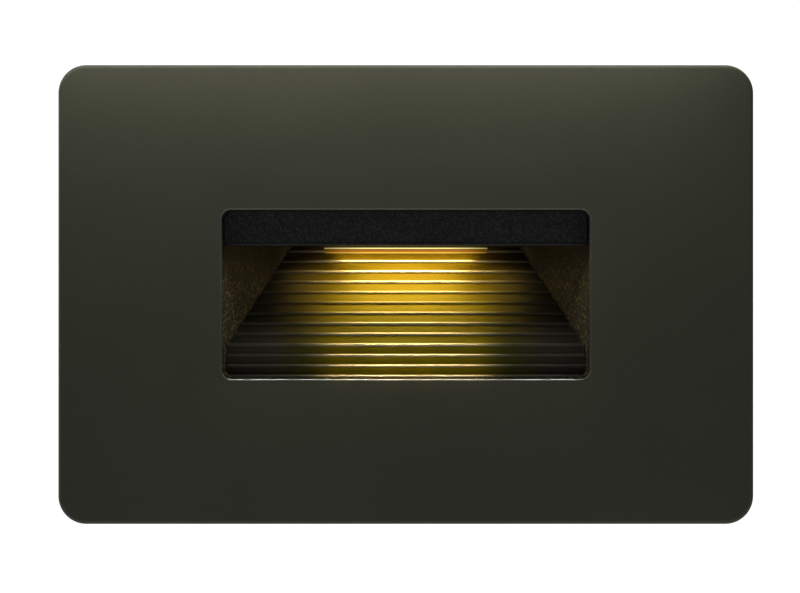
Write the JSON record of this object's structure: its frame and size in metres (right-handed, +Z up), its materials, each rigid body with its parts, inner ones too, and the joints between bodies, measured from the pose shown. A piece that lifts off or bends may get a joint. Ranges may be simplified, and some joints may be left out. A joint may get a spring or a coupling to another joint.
{
  "type": "step light",
  "caption": "Recessed step light with a plain dark bronze rectangular faceplate, a black recess with a ribbed sloping baffle under a hooded light bar, and a driver housing for a wall box.",
  "frame": {"origin": "centre of the wall gasket's back face, on the finished wall", "axes": "X to the right seen from the front, Z up, Y into the wall; the front faces -Y"},
  "size_m": [0.1142, 0.0616, 0.0754],
  "materials": {
    "bronze_paint": "satin dark bronze paint on cast aluminium",
    "gasket_foam": "matt closed-cell foam",
    "plated_steel": "zinc plated",
    "grommet_rubber": "matt",
    "screw_steel": "bright zinc plated",
    "black_screw": "black oxide",
    "black_cast": "fine textured black paint on cast aluminium",
    "black_baffle": "semi-gloss black",
    "black_plastic": "fine textured",
    "spreader_metal": "mill finish",
    "thermal_pad": "soft matt",
    "led_board": "white solder mask",
    "led_emitter": "yellow phosphor, lit",
    "lens_frost": "frosted, lit from behind",
    "lead_red": "smooth insulation",
    "lead_black": "smooth insulation",
    "driver_case": "satin black paint on cast aluminium",
    "circuit_board": "green solder mask",
    "terminal_green": "moulded",
    "ferrite": "dull dark grey",
    "winding_tape": "yellow tape",
    "can_sleeve": "shrink sleeve",
    "film_box": "moulded box",
    "chip_black": "moulded",
    "ground_green": "green coating"
  },
  "bodies": {
    "fixture": {"wall_gasket": "gasket_foam", "mounting_frame": "plated_steel", "peg_grommets": "grommet_rubber", "box_screws": "screw_steel", "light_housing": "black_cast", "housing_screws": "screw_steel", "ribbed_baffle": "black_baffle", "baffle_screws": "black_screw", "lamp_hood": "black_plastic", "hood_screws": "black_screw", "heat_spreader": "spreader_metal", "thermal_pad": "thermal_pad", "led_board": "led_board", "leds": "led_emitter", "led_board_screws": "screw_steel", "lens": "lens_frost", "lens_gasket": "grommet_rubber", "led_lead_positive": "lead_red", "led_lead_negative": "lead_black", "lead_grommet": "grommet_rubber", "driver_gasket": "gasket_foam", "driver_housing": "driver_case", "driver_screws": "screw_steel", "driver_board": "circuit_board", "board_screws": "screw_steel", "output_terminal": "terminal_green", "input_terminal": "terminal_green", "transformer_core": "ferrite", "transformer_winding": "winding_tape", "capacitors": "can_sleeve", "film_capacitor": "film_box", "inductor": "ferrite", "driver_chip": "chip_black", "rear_cover_gasket": "gasket_foam", "rear_cover": "driver_case", "rear_cover_screws": "screw_steel", "ground_screw": "ground_green", "supply_bushing": "black_plastic"},
    "faceplate": {"faceplate": "bronze_paint"}
  },
  "joints": [
    {"name": "faceplate_pull", "type": "slide", "parent": "fixture", "child": "faceplate", "axis": [0, -1, 0], "range_m": [0, 0.012]}
  ]
}
